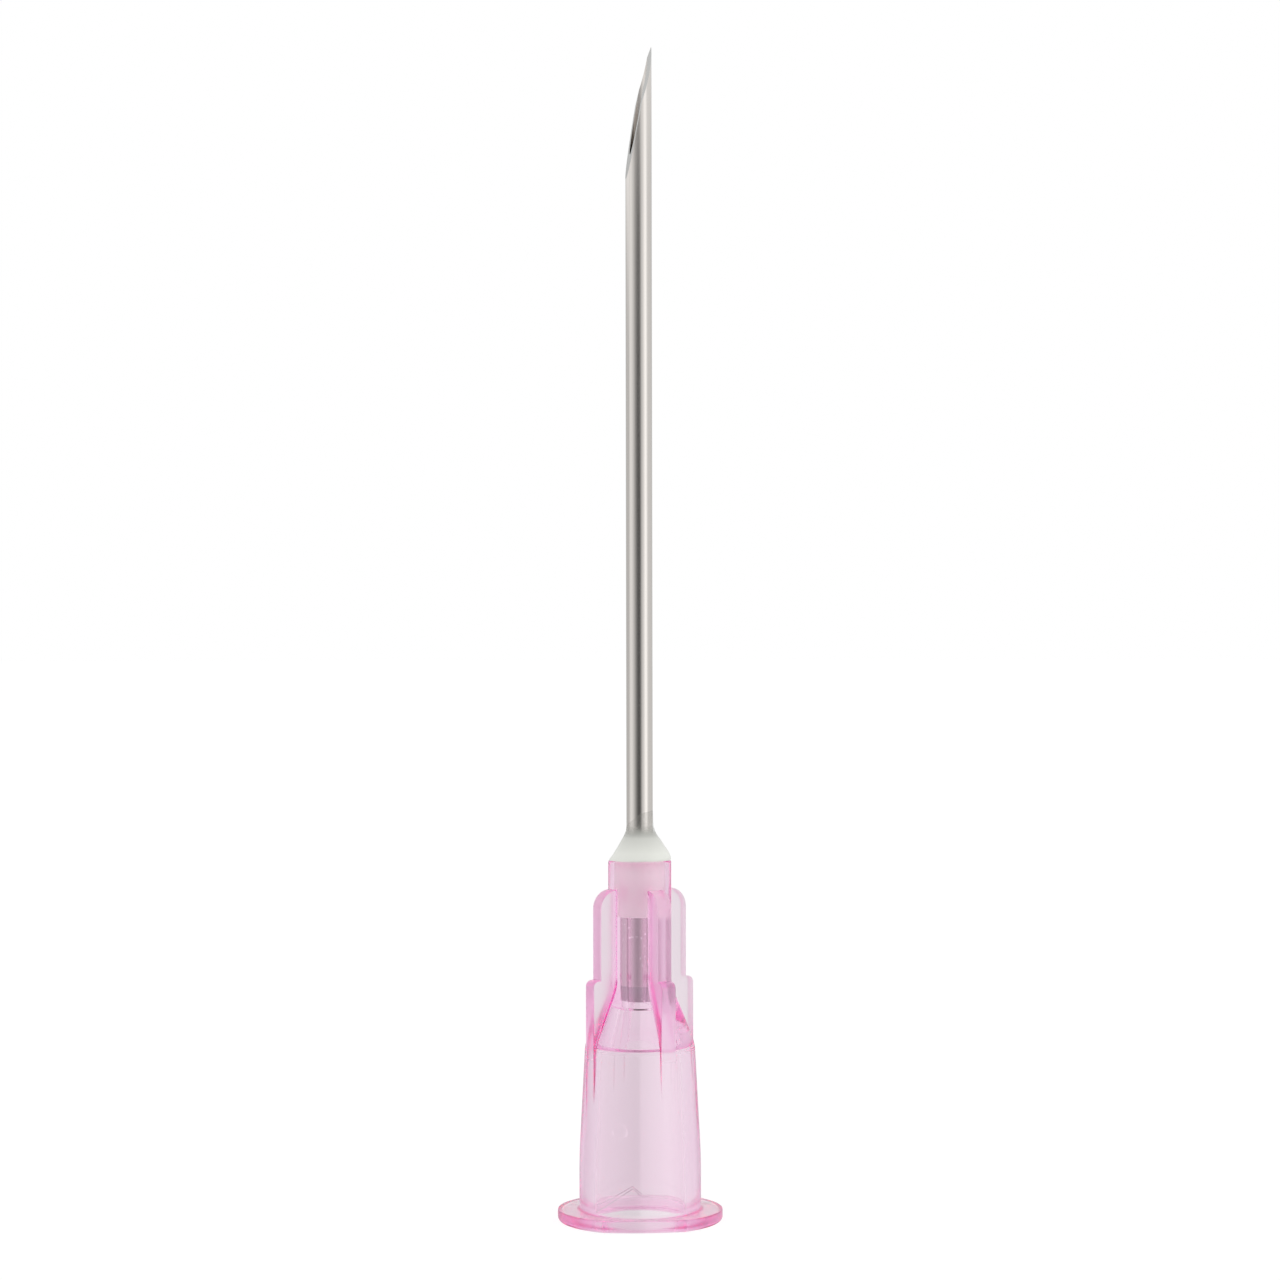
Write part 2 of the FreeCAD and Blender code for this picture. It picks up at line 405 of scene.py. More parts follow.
class Weave:
    """The node tree of a material or of the world."""

    def __init__(self, owner: bpy.types.Material | bpy.types.World) -> None:
        """Start an empty tree.

        Args:
            owner: The material or world that gets the tree.
        """
        owner.use_nodes = True
        self.tree = owner.node_tree
        self.tree.nodes.clear()

    def node(
        self,
        kind: str,
        settings: dict[str, Any] | None = None,
        inputs: dict[Any, Any] | None = None,
        output: Any = 0,
    ) -> Wire:
        """Add a node.

        Args:
            kind: Type of the node.
            settings: Its own settings, which are set first.
            inputs: Values or wires for its sockets, by name or number.
            output: Name or number of the output that is wanted.

        Returns:
            The wanted output.
        """
        made = self.tree.nodes.new(kind)
        for name, value in (settings or {}).items():
            if name == "stops":
                self._set_stops(made.color_ramp, value)
                made.color_ramp.interpolation = "EASE"
            else:
                setattr(made, name, value)
        for key, value in (inputs or {}).items():
            socket = made.inputs[key]
            if isinstance(value, Wire):
                self.tree.links.new(value.socket, socket)
            else:
                socket.default_value = value
        return Wire(self, made.outputs[output] if len(made.outputs) else None)

    @staticmethod
    def _set_stops(ramp: bpy.types.ColorRamp, stops: Sequence[tuple[float, Sequence[float]]]) -> None:
        """Set the stops of a ramp."""
        while len(ramp.elements) > len(stops):
            ramp.elements.remove(ramp.elements[-1])
        while len(ramp.elements) < len(stops):
            ramp.elements.new(1.0)
        for element, (place, colour) in zip(ramp.elements, stops):
            element.position = place
            element.color = tuple(colour)

    def mix(self, factor: Any, first: Any, second: Any) -> Wire:
        """Blend two colours."""
        settings = {"data_type": "RGBA"}
        return self.node("ShaderNodeMix", settings, {0: factor, 6: first, 7: second}, 2)

    def place(self) -> Wire:
        """Object coordinates."""
        return self.node("ShaderNodeTexCoord", output="Object")

    def noise(self, place: Wire, scale: float, detail: float) -> Wire:
        """Soft noise between 0 and 1."""
        inputs = {"Vector": place, "Scale": scale, "Detail": detail}
        return self.node("ShaderNodeTexNoise", {}, inputs, "Fac")

    def bump(self, height: Wire, strength: float, depth: float) -> Wire:
        """A normal that follows small heights, with the depth of a height of 1 in metres."""
        inputs = {"Strength": strength, "Distance": depth, "Height": height}
        return self.node("ShaderNodeBump", {}, inputs)

    def background(self, colour: Any, strength: float) -> Wire:
        """A background of the world."""
        return self.node("ShaderNodeBackground", {}, {"Color": colour, "Strength": strength})

    def blend(self, factor: Wire, first: Wire, second: Wire) -> Wire:
        """Blend two shaders."""
        return self.node("ShaderNodeMixShader", {}, {0: factor, 1: first, 2: second})

    def paths(self, *names: str) -> list[Wire]:
        """Outputs of a Light Path node, by name."""
        outputs = self.tree.nodes.new("ShaderNodeLightPath").outputs
        return [Wire(self, outputs[name]) for name in names]

    def aim(self, operation: str, *vectors: Any, output: int = 0) -> Wire:
        """Add one Vector Math node."""
        settings = {"operation": operation}
        return self.node("ShaderNodeVectorMath", settings, dict(enumerate(vectors)), output)

    def reach(self, place: Wire) -> Wire:
        """Distance in metres from the upright axis."""
        flat = self.aim("MULTIPLY", place, (1.0, 1.0, 0.0))
        return self.aim("LENGTH", flat, output=1)

    def distance(self, place: Wire, start: tuple[float, float], end: tuple[float, float]) -> Wire:
        """Distance in metres from a line, as seen from the front.

        Args:
            place: Object coordinates.
            start: One end of the line, across and up.
            end: The other end, which may be the same point.

        Returns:
            The distance.
        """
        first, last = (Vector((point[0], 0.0, point[1])) for point in (start, end))
        run = last - first
        seen = self.aim("MULTIPLY", place, (1.0, 0.0, 1.0))
        away = self.aim("SUBTRACT", seen, tuple(first))
        along = self.aim("DOT_PRODUCT", away, tuple(run), output=1)
        part = (along / max(run.length_squared, 1e-12)).clamped()
        step = self.node("ShaderNodeVectorMath", {"operation": "SCALE"}, {0: tuple(run), "Scale": part})
        return self.aim("DISTANCE", away, step, output=1)

    def parts(self, vector: Wire) -> tuple[Wire, Wire, Wire]:
        """The three parts of a vector."""
        split = self.node("ShaderNodeSeparateXYZ", inputs={0: vector})
        outputs = split.socket.node.outputs
        return tuple(Wire(self, outputs[number]) for number in range(3))


Colour = tuple[float, float, float, float]


def rgb(red: float, green: float, blue: float) -> Colour:
    """An opaque linear colour."""
    return (red, green, blue, 1.0)


WHITE = rgb(1.0, 1.0, 1.0)
RAYS = ("Is Camera Ray", "Is Glossy Ray", "Is Transmission Ray")


@dataclass(frozen=True)
class PinkPlastic:
    """Translucent pink polypropylene, clear enough to see the socket through. Lengths are in metres.

    Attributes:
        tint: Colour of the surface.
        clarity: What passes one absorption length, as a colour.
        density: Absorption lengths in a metre.
        milk: Share of the light that the surface doesn't let through.
        bend: Index of refraction.
        haze: Roughness of the polished surface.
        haze_change: How much the roughness differs from place to place.
        flow_scale: Scale of the faint flow of the surface.
        flow_bump: How far the flow stands out.
        satin_haze: Roughness of the satin surface on the ribs, the flange and the socket's shelf.
        wall_radius: Radius just outside the neck, past which there are only ribs.
        rib_fade: How fast the satin surface begins beside the wall.
        cone_top: Height of the cone's top.
        cone_height: Height of the cone.
        cone_spread: How much wider the barrel is than the neck.
        rib_foot: Height at which the satin surface of the ribs begins.
        rib_foot_fade: How fast it begins.
        shelf: Height of the shelf at the end of the socket.
        shelf_width: How far from the shelf the surface is satin.
        flange_tint: Colour of the flange's surface.
        flange_top: Height of the top of the flange.
        flange_fade: How fast the flange's finish ends.
        flange_satin: How satin the flange is, next to the ribs.
        gate: Middle of the gate mark, across and up.
        gate_radius: Radius of the ring that the gate left.
        gate_width: How far the ring's edge reaches.
        gate_bump: How far the ring stands out.
        scratch: Corners of the hairline scratch, across and up.
        scratch_width: Width of the scratch.
        scratch_colour: Colour of the scratch.
        bump_depth: Height of the bumps.
    """

    tint: Colour = rgb(1.0, 0.985, 0.99)
    clarity: Colour = rgb(1.0, 0.44, 0.84)
    density: float = 200.0
    milk: float = 0.01
    bend: float = 1.49
    haze: float = 0.08
    haze_change: float = 0.05
    flow_scale: float = 900.0
    flow_bump: float = 0.16
    satin_haze: float = 0.32
    wall_radius: float = 0.00153
    rib_fade: float = 0.0001
    cone_top: float = 0.01116
    cone_height: float = 0.0027
    cone_spread: float = 0.0011
    rib_foot: float = 0.0075
    rib_foot_fade: float = 0.0004
    shelf: float = 0.0082
    shelf_width: float = 0.00012
    flange_tint: Colour = rgb(1.0, 0.91, 0.955)
    flange_top: float = 0.0006
    flange_fade: float = 0.00005
    flange_satin: float = 0.6
    gate: tuple[float, float] = (-0.000886, 0.00455)
    gate_radius: float = 0.00032
    gate_width: float = 0.0001
    gate_bump: float = 1.5
    scratch: tuple[tuple[float, float], ...] = (
        (-0.00205, 0.00075),
        (-0.00034, 0.00198),
        (0.00005, 0.00163),
    )
    scratch_width: float = 0.00002
    scratch_colour: Colour = rgb(0.30, 0.22, 0.26)
    bump_depth: float = 0.00002

    def satin(self, radius: Wire, height: Wire, flange: Wire) -> Wire:
        """Where the mould left the surface satin.

        Args:
            radius: Distance from the axis.
            height: Height above the mouth.
            flange: 1 on the flange, else 0.

        Returns:
            1 on the satin surface, 0 on the polished one.
        """
        cone = ((self.cone_top - height) / self.cone_height).clamped() * self.cone_spread
        outside = ((radius - cone - self.wall_radius) / self.rib_fade).clamped()
        rib = outside * ((height - self.rib_foot) / self.rib_foot_fade).clamped()
        shelf = (1.0 - abs(height - self.shelf) / self.shelf_width).clamped()
        return (rib + shelf + flange * self.flange_satin).clamped()

    def scratched(self, weave: Weave, place: Wire) -> Wire:
        """Where the hairline scratch runs: 1 in its middle, else 0."""
        strokes = [weave.distance(place, start, end) for start, end in pairwise(self.scratch)]
        return sum((1.0 - stroke / self.scratch_width).clamped() for stroke in strokes).clamped()

    def make(self) -> bpy.types.Material:
        """Build the material.

        Returns:
            The hub's material.
        """
        material = bpy.data.materials.new("PinkPlastic")
        weave = Weave(material)
        place = weave.place()
        _, north, height = weave.parts(place)
        flange = ((self.flange_top - height) / self.flange_fade).clamped()
        satin = self.satin(weave.reach(place), height, flange)
        flow = weave.noise(place, self.flow_scale, 3.0)
        haze = self.haze + (flow - 0.5) * self.haze_change
        front = north < 0.0
        gate = weave.distance(place, self.gate, self.gate)
        ring = (1.0 - abs(gate - self.gate_radius) / self.gate_width).clamped() * front
        scratch = self.scratched(weave, place) * front
        relief = flow * self.flow_bump + ring * self.gate_bump - scratch
        tint = weave.mix(flange, self.tint, self.flange_tint)
        shader = weave.node(
            "ShaderNodeBsdfPrincipled",
            {},
            {
                "Base Color": weave.mix(scratch, tint, self.scratch_colour),
                "Roughness": haze + satin * (self.satin_haze - self.haze),
                "IOR": self.bend,
                "Transmission Weight": 1.0 - self.milk,
                "Normal": weave.bump(relief, 0.5, self.bump_depth),
            },
        )
        absorption = {"Color": self.clarity, "Density": self.density}
        depth = weave.node("ShaderNodeVolumeAbsorption", {}, absorption)
        weave.node("ShaderNodeOutputMaterial", {}, {"Surface": shader, "Volume": depth})
        return material


@dataclass(frozen=True)
class DrawnSteel:
    """Drawn and polished stainless tube, blasted where it is buried, with painted shade and painted
    highlights there and painted shade in the lumen. Lengths are in metres.

    Attributes:
        colour: Colour of the reflection.
        pale_colour: Colour of the palest drawing marks.
        polish: Roughness of the tube.
        polish_change: How much the drawing marks change the roughness.
        mark_scale: Scales of the drawing marks, which run along the tube.
        mark_bump: How strongly the drawing marks stand out.
        buried_top: Height up to which the tube is blasted.
        buried_fade: How fast the blasted finish ends.
        buried_colour: Colour of the blasted tube inside the hub, with a painted mauve shade.
        buried_haze: How much rougher the blasted tube is.
        glint_scale: Scale of the painted glints.
        glint_from: Noise level at which a painted glint begins.
        glint_rise: How fast it grows bright.
        painted_highlight_cover: How far the painted glints and the painted highlight line cover the
            blasted finish.
        painted_highlight_colour: Colour of the painted glints and of the painted highlight line above the
            foot.
        foot_line: Height of the painted highlight line above the foot, where the painted shade of the
            foot ends.
        foot_fade: Half the width of that line.
        foot_shade_cover: How far the painted shade at the foot covers the blasted finish.
        foot_painted_shade: Colour of the painted shade on the tube's foot.
        inside_radius: Radius between the lumen's wall and the outside.
        lumen_painted_shade: Colour of the painted shade deep inside the lumen.
        lumen_dark: Height up to which the lumen has its full painted shade.
        lumen_light: Height from which the painted shade has faded and the lumen is as bright as the tube.
        bump_depth: Height of the bumps.
    """

    colour: Colour = rgb(0.73, 0.69, 0.655)
    pale_colour: Colour = rgb(0.80, 0.765, 0.73)
    polish: float = 0.16
    polish_change: float = 0.1
    mark_scale: tuple[float, float, float] = (9000.0, 9000.0, 120.0)
    mark_bump: float = 0.05
    buried_top: float = 0.0172
    buried_fade: float = 0.0003
    buried_colour: Colour = rgb(0.70, 0.59, 0.64)
    buried_haze: float = 0.05
    glint_scale: float = 7000.0
    glint_from: float = 0.68
    glint_rise: float = 20.0
    painted_highlight_cover: float = 0.8
    painted_highlight_colour: Colour = rgb(0.95, 0.90, 0.93)
    foot_line: float = 0.01113
    foot_fade: float = 0.00005
    foot_shade_cover: float = 0.5
    foot_painted_shade: Colour = rgb(0.36, 0.30, 0.36)
    inside_radius: float = 0.0005
    lumen_painted_shade: Colour = rgb(0.32, 0.30, 0.28)
    lumen_dark: float = 0.0505
    lumen_light: float = 0.0535
    bump_depth: float = 0.00001

    def blasted(self, weave: Weave, place: Wire, height: Wire) -> Wire:
        """Colour of the blasted tube, which shows through the hub, with painted shade and painted
        highlights.

        Args:
            weave: Node tree of the material.
            place: Object coordinates.
            height: Height above the mouth.

        Returns:
            The colour with its painted shade at the foot, the painted highlight line above it and the
            painted glints.
        """
        # Painted shade: the tube below the foot line is painted darker.
        foot = ((self.foot_line - height) / self.foot_fade).clamped()
        # Painted highlights: a bright line just above the foot and bright glints strewn over the blasted
        # tube.
        line = (1.0 - abs(height - self.foot_line) / self.foot_fade).clamped()
        glint_noise = weave.noise(place, self.glint_scale, 1.0)
        bright = (line + (glint_noise - self.glint_from) * self.glint_rise).clamped()
        blasted_with_painted_shade = weave.mix(foot * self.foot_shade_cover, self.buried_colour, self.foot_painted_shade)
        return weave.mix(bright * self.painted_highlight_cover, blasted_with_painted_shade, self.painted_highlight_colour)

    def make(self) -> bpy.types.Material:
        """Build the material.

        Returns:
            The tube's material.
        """
        material = bpy.data.materials.new("DrawnSteel")
        weave = Weave(material)
        place = weave.place()
        _, _, height = weave.parts(place)
        along = weave.node("ShaderNodeMapping", {}, {"Vector": place, "Scale": self.mark_scale})
        marks = weave.noise(along, 1.0, 4.0)
        buried = ((self.buried_top - height) / self.buried_fade).clamped()
        # Painted shade: the lumen's wall is painted dark deep inside, fading to the tube's colour near
        # the tip.
        inside = weave.reach(place) < self.inside_radius
        lumen_shade_fade = ((height - self.lumen_dark) / (self.lumen_light - self.lumen_dark)).clamped()
        outer = weave.mix(marks, self.colour, self.pale_colour)
        # Inside the hub the tube is painted a mauve tone as painted shade, with painted shade at its foot
        # and painted highlights.
        outer = weave.mix(buried, outer, self.blasted(weave, place, height))
        lumen_with_painted_shade = weave.mix(lumen_shade_fade, self.lumen_painted_shade, self.colour)
        shader = weave.node(
            "ShaderNodeBsdfPrincipled",
            {},
            {
                "Base Color": weave.mix(inside, outer, lumen_with_painted_shade),
                "Metallic": 1.0,
                "Roughness": self.polish + (marks - 0.5) * self.polish_change + buried * self.buried_haze,
                "Normal": weave.bump(marks, self.mark_bump, self.bump_depth),
            },
        )
        weave.node("ShaderNodeOutputMaterial", {}, {"Surface": shader})
        return material


@dataclass(frozen=True)
class GroundSteel:
    """Steel as the grinding wheel leaves it, with fine marks across the bevel.

    Attributes:
        colour: Colour of the reflection.
        pale_colour: Colour of the palest grinding marks.
        grain: Roughness of the ground flats.
        grain_change: How much the grinding marks change the roughness.
        mark_scale: Scales of the grinding marks, which run across the tube.
        mark_bump: How strongly the grinding marks stand out.
        bump_depth: Height of the bumps in metres.
    """

    colour: Colour = rgb(0.50, 0.50, 0.49)
    pale_colour: Colour = rgb(0.60, 0.60, 0.59)
    grain: float = 0.42
    grain_change: float = 0.2
    mark_scale: tuple[float, float, float] = (800.0, 800.0, 16000.0)
    mark_bump: float = 0.15
    bump_depth: float = 0.00001

    def make(self) -> bpy.types.Material:
        """Build the material.

        Returns:
            The material of the bevel and the two lancet flats.
        """
        material = bpy.data.materials.new("GroundSteel")
        weave = Weave(material)
        across = weave.node("ShaderNodeMapping", {}, {"Vector": weave.place(), "Scale": self.mark_scale})
        marks = weave.noise(across, 1.0, 3.0)
        shader = weave.node(
            "ShaderNodeBsdfPrincipled",
            {},
            {
                "Base Color": weave.mix(marks, self.colour, self.pale_colour),
                "Metallic": 1.0,
                "Roughness": self.grain + (marks - 0.5) * self.grain_change,
                "Normal": weave.bump(marks, self.mark_bump, self.bump_depth),
            },
        )
        weave.node("ShaderNodeOutputMaterial", {}, {"Surface": shader})
        return material


@dataclass(frozen=True)
class MilkyResin:
    """Cured adhesive: milky where it is thick and clearer where it thins out on the tube, with painted
    shade towards the top of the film.

    Lengths are in metres.

    Attributes:
        colour: Colour of the thick resin.
        cloud_colour: Colour of its faint clouds.
        cloud_scale: Scale of the clouds.
        gloss: Roughness of its surface.
        gloss_change: How much the clouds change the roughness.
        rim: Height of the hub's rim, below which the resin is buried.
        rim_fade: How fast the buried colour begins.
        buried_colour: Colour of the resin in the well.
        thin_from: Height at which the bead has become a film.
        thin_to: Height at which the film is thinnest.
        film_clear: How clear the thinnest film is.
        film_change: How much the clouds change that.
        shade: Colour of the painted shade on the film, which darkens it where the steel behind shows
            through.
        shade_from: Height at which the painted shade begins.
        shade_to: Height at which it is reached.
    """

    colour: Colour = rgb(0.87, 0.88, 0.82)
    cloud_colour: Colour = rgb(0.83, 0.84, 0.79)
    cloud_scale: float = 1800.0
    gloss: float = 0.3
    gloss_change: float = 0.1
    rim: float = 0.0171
    rim_fade: float = 0.0001
    buried_colour: Colour = rgb(0.97, 1.0, 0.95)
    thin_from: float = 0.01815
    thin_to: float = 0.01875
    film_clear: float = 0.85
    film_change: float = 0.3
    shade: Colour = rgb(0.30, 0.30, 0.28)
    shade_from: float = 0.01745
    shade_to: float = 0.0196

    def make(self) -> bpy.types.Material:
        """Build the material.

        Returns:
            The adhesive's material.
        """
        material = bpy.data.materials.new("MilkyResin")
        weave = Weave(material)
        place = weave.place()
        _, _, height = weave.parts(place)
        cloud = weave.noise(place, self.cloud_scale, 3.0)
        thinning = ((height - self.thin_from) / (self.thin_to - self.thin_from)).clamped()
        clear = thinning * (self.film_clear + (cloud - 0.5) * self.film_change)
        # Painted shade: the resin is painted darker towards the top, where the film thins over the steel.
        shaded = ((height - self.shade_from) / (self.shade_to - self.shade_from)).clamped()
        buried = ((self.rim - height) / self.rim_fade).clamped()
        tint = weave.mix(cloud, self.colour, self.cloud_colour)
        tint = weave.mix(shaded, tint, self.shade)
        shader = weave.node(
            "ShaderNodeBsdfPrincipled",
            {},
            {
                "Base Color": weave.mix(buried, tint, self.buried_colour),
                "Roughness": self.gloss + (cloud - 0.5) * self.gloss_change,
                "Alpha": (1.0 - clear).clamped(),
            },
        )
        weave.node("ShaderNodeOutputMaterial", {}, {"Surface": shader})
        return material


# The needle


@dataclass
class Hub:
    """The moulded hub: flange, barrel, neck, ribs and everything cored out of them."""

    flange_radius: float = 3.91
    flange_thickness: float = 0.58
    flange_foot_round: float = 0.23
    flange_top_round: float = 0.05
    flange_reach: float = 3.6
    flange_trim_radius: float = 9.0
    flange_trim_turn: float = 3.3
    foot_round: float = 0.15
    skirt_radius: float = 2.885
    skirt_top: float = 3.1
    shoulder_radius: float = 2.6
    shoulder: float = 8.46
    neck_radius: float = 1.496
    neck_foot: float = 11.16
    rim: float = 17.1
    rim_round: float = 0.1
    rib_turn: float = 29.7
    rib_thickness: float = 0.78
    rib_inner: float = 0.6
    upper_rib_radius: float = 2.335
    upper_rib_round: float = 0.9
    upper_rib_top: float = 15.75
    lower_rib_radius: float = 2.73
    lower_rib_round: float = 0.3
    lower_rib_top: float = 11.5
    mouth_radius: float = 2.145
    mouth_round: float = 0.08
    socket_depth: float = 8.2
    socket_top_radius: float = 1.896
    chamber_radius: float = 1.38
    chamber_top_radius: float = 0.95
    chamber_top: float = 9.97
    bore_radius: float = 0.6
    well_floor: float = 14.4
    well_radius: float = 0.8
    overshoot: float = 0.5
    segments: int = 192
    skirt_bend: float = 0.6
    shoulder_bend: float = 0.35
    neck_bend: float = 0.3
    core_round: float = 0.02
    edge_round: float = 0.05
    edge_sharp: float = 50.0
    merge_distance: float = 0.001
    smooth_below: float = 35.0
    finish: PinkPlastic = field(default_factory=PinkPlastic)

    def barrel(self) -> Bench:
        """Turn the outside of the hub without its ribs.

        Returns:
            A closed solid.
        """
        rings = [
            Ring(self.skirt_radius + self.foot_round, self.flange_thickness / 2.0),
            *arc_rings(
                self.skirt_radius + self.foot_round,
                self.flange_thickness + self.foot_round,
                self.foot_round,
                270.0,
                180.0,
                5,
            ),
            Ring(self.skirt_radius, self.skirt_top),
            Ring(self.shoulder_radius, self.shoulder),
            Ring(self.neck_radius, self.neck_foot),
            *arc_rings(
                self.neck_radius - self.rim_round, self.rim - self.rim_round, self.rim_round, 0.0, 90.0, 4
            ),
        ]
        work = Bench.turned(rings, self.segments)
        work.soften_ring(self.shoulder, self.shoulder_bend, 5)
        work.soften_ring(self.neck_foot, self.neck_bend, 5)
        work.soften_ring(self.skirt_top, self.skirt_bend, 5)
        return work

    def plate(self, radius: float, segments: int) -> Bench:
        """Turn a disc as thick as the flange, with the flange's edges."""
        foot, top = self.flange_foot_round, self.flange_top_round
        rings = [
            *arc_rings(radius - foot, foot, foot, -90.0, 0.0, 8),
            *arc_rings(radius - top, self.flange_thickness - top, top, 0.0, 90.0, 3),
        ]
        return Bench.turned(rings, segments)

    def flange(self) -> Bench:
        """Shape the flange from a disc whose front and back are trimmed to shallow curves.

        Returns:
            A closed solid.
        """
        work = self.plate(self.flange_radius, self.segments)
        offset = self.flange_trim_radius - self.flange_reach
        for side in (1.0, -1.0):
            keeper = self.plate(self.flange_trim_radius, self.segments * 2)
            keeper.move((0.0, side * offset, 0.0)).turn(self.flange_trim_turn)
            work.combine(keeper, Join.KEEP)
        return work

    def rib(self, turn: float) -> Bench:
        """Shape one rib in two tiers from a block.

        Args:
            turn: Direction of the rib in degrees.

        Returns:
            A closed solid that reaches into the barrel.
        """
        length = self.lower_rib_radius - self.rib_inner
        height = self.lower_rib_top - self.skirt_top
        middle = (self.rib_inner + length / 2.0, 0.0, self.skirt_top + height / 2.0)
        work = Bench.block((length, self.rib_thickness, height), middle)
        with work.editing():
            bpy.ops.mesh.select_all(action="SELECT")
            bpy.ops.mesh.bisect(plane_co=(self.upper_rib_radius, 0.0, 0.0), plane_no=(1.0, 0.0, 0.0))
            work.pick_faces(lambda at, normal: normal.z > 0.9 and at.x < self.upper_rib_radius)
            rise = (0.0, 0.0, self.upper_rib_top - self.lower_rib_top)
            bpy.ops.mesh.extrude_region_move(TRANSFORM_OT_translate={"value": rise})
            for radius, top, bend, steps in (
                (self.upper_rib_radius, self.upper_rib_top, self.upper_rib_round, 12),
                (self.lower_rib_radius, self.lower_rib_top, self.lower_rib_round, 6),
            ):
                work.pick_edges(
                    lambda a, b: all(abs(p.x - radius) < NEAR and abs(p.z - top) < NEAR for p in (a, b))
                )
                bpy.ops.mesh.bevel(offset=bend, segments=steps, affect="EDGES")
        work.round_edges(self.edge_round, 3, self.edge_sharp)
        return work.turn(turn)

    def core(self) -> Bench:
        """Turn the core pins that leave the socket, the chamber, the bore and the well.

        Returns:
            A closed solid that is cut from the hub.
        """
        rings = [
            Ring(self.mouth_radius + self.mouth_round, -self.overshoot),
            *arc_rings(
                self.mouth_radius + self.mouth_round, self.mouth_round, self.mouth_round, 270.0, 180.0, 4
            ),
            Ring(self.socket_top_radius, self.socket_depth),
            Ring(self.chamber_radius, self.socket_depth),
            Ring(self.chamber_top_radius, self.chamber_top),
            Ring(self.bore_radius, self.chamber_top),
            Ring(self.bore_radius, self.well_floor),
            Ring(self.well_radius, self.well_floor),
            Ring(self.well_radius, self.rim + self.overshoot),
        ]
        work = Bench.turned(rings, self.segments)
        for height in (self.socket_depth, self.chamber_top):
            work.soften_ring(height, self.core_round, 3)
        return work

    def build(self) -> bpy.types.Object:
        """Build and dress the hub.

        Returns:
            The finished piece.
        """
        work = self.flange()
        work.combine(self.barrel(), Join.ADD)
        for number in range(4):
            work.combine(self.rib(self.rib_turn + 90.0 * number), Join.ADD)
        work.combine(self.core(), Join.CUT)
        work.clean(self.merge_distance)
        work.paint(self.finish.make())
        return work.finish("Hub", "hub", Slot.HUB, self.smooth_below)


@dataclass
class Cannula:
    """The steel tube with its lumen and its ground lancet point."""

    radius: float = 0.625
    lumen_radius: float = 0.42
    foot: float = 10.3
    tip: float = 55.75
    bevel_angle: float = 9.95
    bevel_turn: float = 14.4
    lancet_angle: float = 17.4
    lancet_turn: float = 32.7
    lancet_drop: float = 0.79
    segments: int = 128
    waste: float = 1.0
    overshoot: float = 1.0
    wheel_size: float = 24.0
    smooth_below: float = 30.0
    tube_finish: DrawnSteel = field(default_factory=DrawnSteel)
    ground_finish: GroundSteel = field(default_factory=GroundSteel)

    def wheel(self, angle: float, turn: float, reach: float, height: float) -> Bench:
        """Place a block whose right face is the plane that the grinding wheel leaves.

        Args:
            angle: Angle between the ground flat and the axis, in degrees.
            turn: Direction that the wheel comes from, in degrees past the left.
            reach: Distance to the right of the axis at which the flat is at the given height.
            height: Height of the flat there.

        Returns:
            A closed solid that is cut from the tube.
        """
        work = Bench.block((self.wheel_size,) * 3, (reach - self.wheel_size / 2.0, 0.0, height))
        work.lean(angle, (reach, 0.0, height))
        return work.turn(turn)

    def build(self) -> bpy.types.Object:
        """Build and dress the cannula.

        Returns:
            The finished piece.
        """
        drawn, ground = self.tube_finish.make(), self.ground_finish.make()
        end = self.tip + self.waste
        work = Bench.rod(self.radius, self.foot, end, self.segments)
        work.paint(drawn)
        low, high = self.foot - self.overshoot, end + self.overshoot
        lumen = Bench.rod(self.lumen_radius, low, high, self.segments)
        work.combine(lumen.paint(drawn), Join.CUT)
        bevel_top = self.tip + self.lancet_drop
        wheels = [self.wheel(self.bevel_angle, self.bevel_turn, self.radius, bevel_top)]
        reach = self.radius * math.cos(math.radians(self.lancet_turn))
        for side in (1.0, -1.0):
            turn = self.bevel_turn + side * self.lancet_turn
            wheels.append(self.wheel(self.lancet_angle, turn, reach, self.tip))
        for wheel in wheels:
            work.combine(wheel.paint(ground), Join.CUT)
        return work.finish("Cannula", "cannula", Slot.CANNULA, self.smooth_below)


@dataclass
class Adhesive:
    """The milky plug in the well and the bead that leans a little to the right."""

    plug_radius: float = 0.82
    plug_floor: float = 14.4
    sunk: float = 0.02
    core_radius: float = 0.6
    core_top: float = 21.0
    overshoot: float = 1.0
    segments: int = 128
    smooth_below: float = 40.0
    bead: Sequence[Ring] = (
        Ring(1.45, 17.08),
        Ring(1.462, 17.14, 0.03),
        Ring(1.43, 17.22, 0.055),
        Ring(1.36, 17.34, 0.085),
        Ring(1.25, 17.55, 0.095),
        Ring(1.085, 17.79, 0.082),
        Ring(0.945, 18.03, 0.074),
        Ring(0.785, 18.27, 0.05),
        Ring(0.69, 18.48, 0.035),
        Ring(0.652, 18.68, 0.024),
        Ring(0.637, 18.98, 0.02),
        Ring(0.625, 19.31, 0.02),
        Ring(0.607, 19.45, 0.02),
    )
    finish: MilkyResin = field(default_factory=MilkyResin)

    def build(self) -> bpy.types.Object:
        """Build and dress the adhesive.

        Returns:
            The finished piece.
        """
        rings = [
            Ring(self.plug_radius, self.plug_floor),
            Ring(self.plug_radius, self.bead[0].height),
            *self.bead,
        ]
        work = Bench.turned(rings, self.segments)
        low = self.plug_floor - self.overshoot
        hole = Bench.rod(self.core_radius, low, self.core_top, self.segments)
        work.combine(hole, Join.CUT)
        work.paint(self.finish.make())
        return work.finish("Adhesive", "adhesive", Slot.ADHESIVE, self.smooth_below)


# The studio


Levels = tuple[tuple[float, float], ...]


